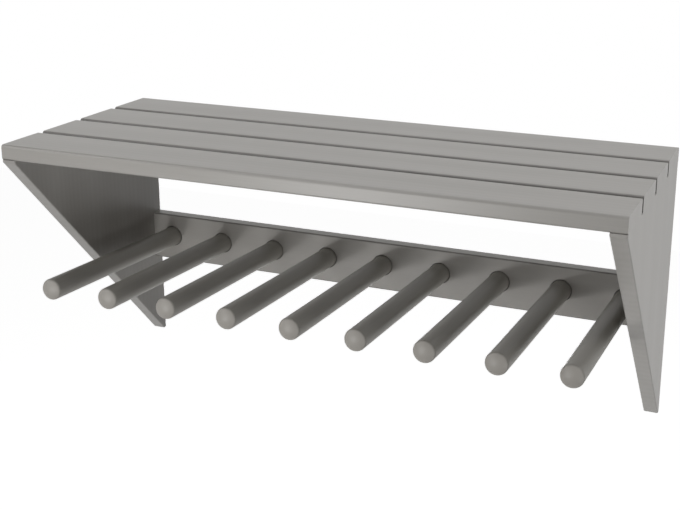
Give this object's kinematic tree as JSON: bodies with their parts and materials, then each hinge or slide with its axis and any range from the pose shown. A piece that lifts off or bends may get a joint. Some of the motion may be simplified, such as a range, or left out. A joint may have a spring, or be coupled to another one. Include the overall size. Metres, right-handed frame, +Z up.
{
  "type": "boot rack",
  "caption": "Wall-hung boot rack of grey-stained timber: a slatted shelf on two tapering side panels, over a rail of long round pegs that boots hang from upside down.",
  "frame": {"origin": "on the wall plane, midway between the round ends of the two hanging keyholes", "axes": "+X along the rack to the right of someone facing it, +Y into the wall, +Z up"},
  "size_m": [0.9, 0.373, 0.418],
  "materials": {
    "shelf_slats": "grey stain, satin",
    "side_panels": "grey stain, satin",
    "rail": "grey stain, satin",
    "pegs": "grey stain on turned wood, satin",
    "dowels": "bare beech",
    "screws": "zinc plated",
    "hanging_plates": "zinc plated"
  },
  "bodies": {
    "root": {"front_slat": "shelf_slats", "second_slat": "shelf_slats", "third_slat": "shelf_slats", "back_slat": "shelf_slats", "left_side_panel": "side_panels", "right_side_panel": "side_panels", "peg_rail": "rail", "peg_1": "pegs", "peg_2": "pegs", "peg_3": "pegs", "peg_4": "pegs", "peg_5": "pegs", "peg_6": "pegs", "peg_7": "pegs", "peg_8": "pegs", "peg_9": "pegs", "left_shelf_dowels": "dowels", "right_shelf_dowels": "dowels", "left_rail_dowels": "dowels", "right_rail_dowels": "dowels", "peg_screws": "screws", "plate_screws": "screws", "left_hanging_plate": "hanging_plates", "right_hanging_plate": "hanging_plates"}
  },
  "joints": []
}
